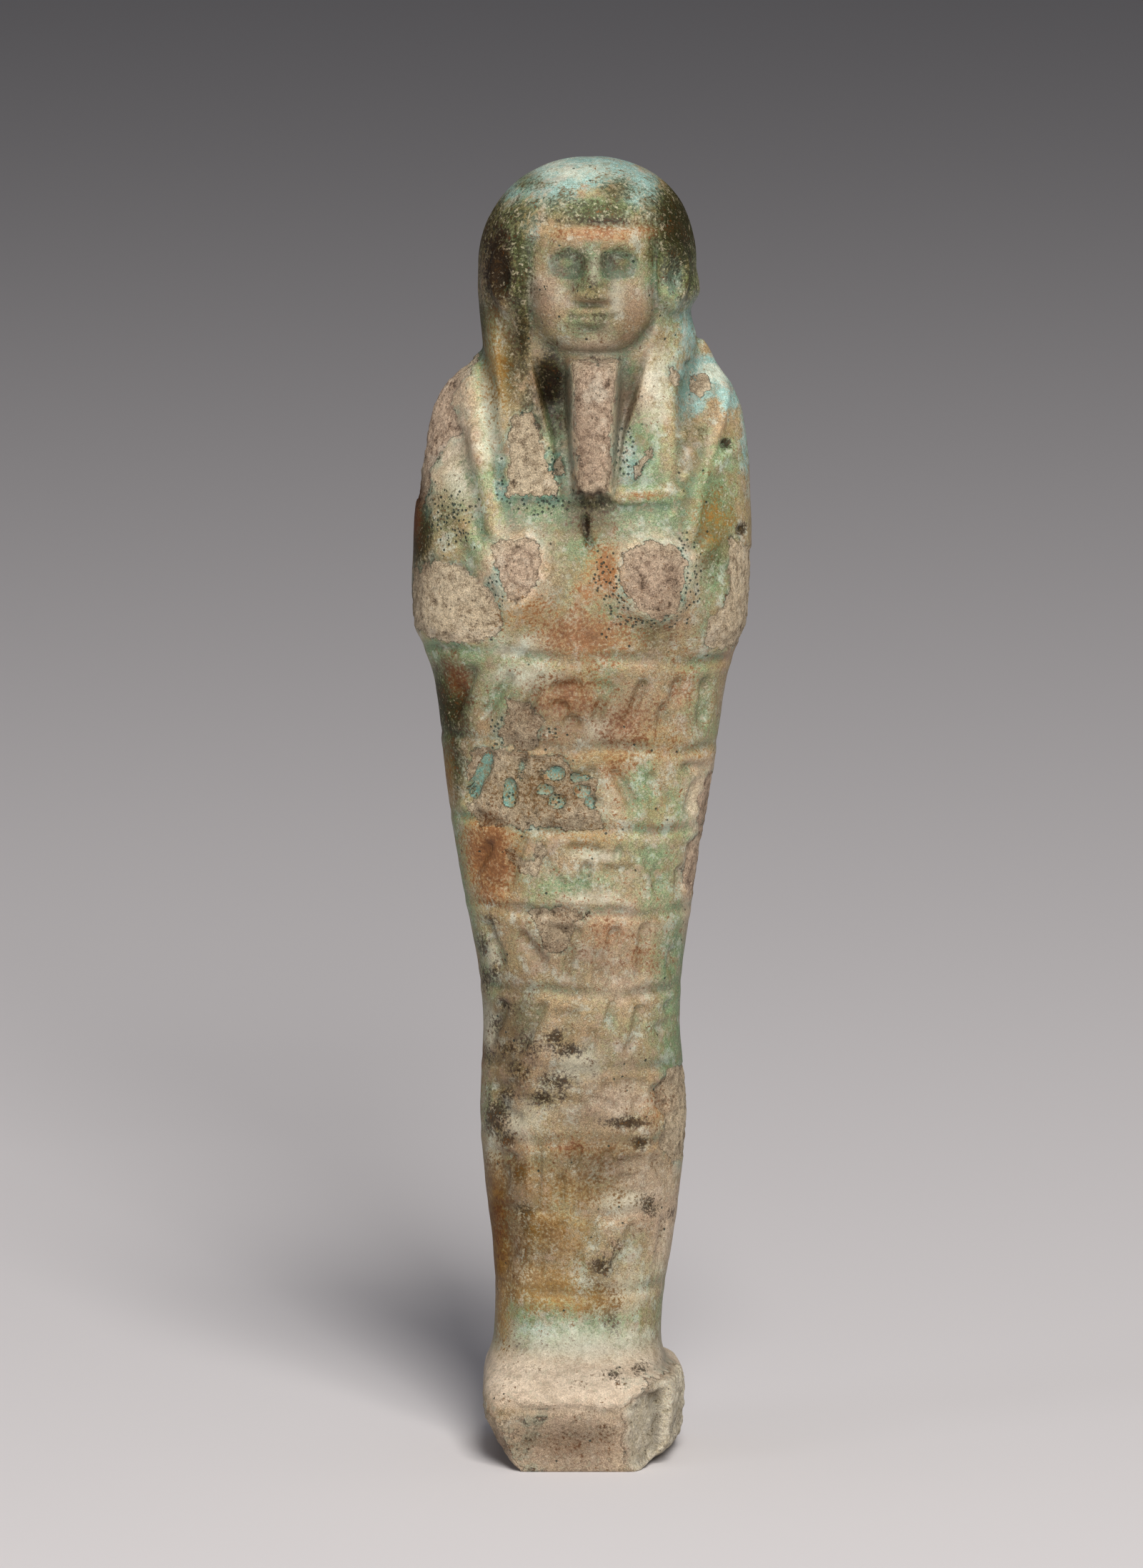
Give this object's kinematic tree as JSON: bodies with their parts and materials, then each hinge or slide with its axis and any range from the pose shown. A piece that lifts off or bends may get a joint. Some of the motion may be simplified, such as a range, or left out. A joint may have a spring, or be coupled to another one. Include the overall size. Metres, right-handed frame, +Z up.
{
  "type": "ushabti figurine",
  "caption": "Mummiform funerary figurine in worn glazed faience with a wig, false beard, folded arms, rows of strokes, a back pillar and a chipped plinth.",
  "frame": {"origin": "on the flat underside of the plinth, below the figure's middle axis", "axes": "+Z up along the figure, the figure faces -Y and +X is at its left hand, the viewer's right"},
  "size_m": [0.0469, 0.0335, 0.1802],
  "materials": {
    "worn_faience": "worn and stained turquoise green glaze over a bare sandy core, mostly matt"
  },
  "bodies": {
    "root": {"ushabti_figure": "worn_faience"}
  },
  "joints": []
}
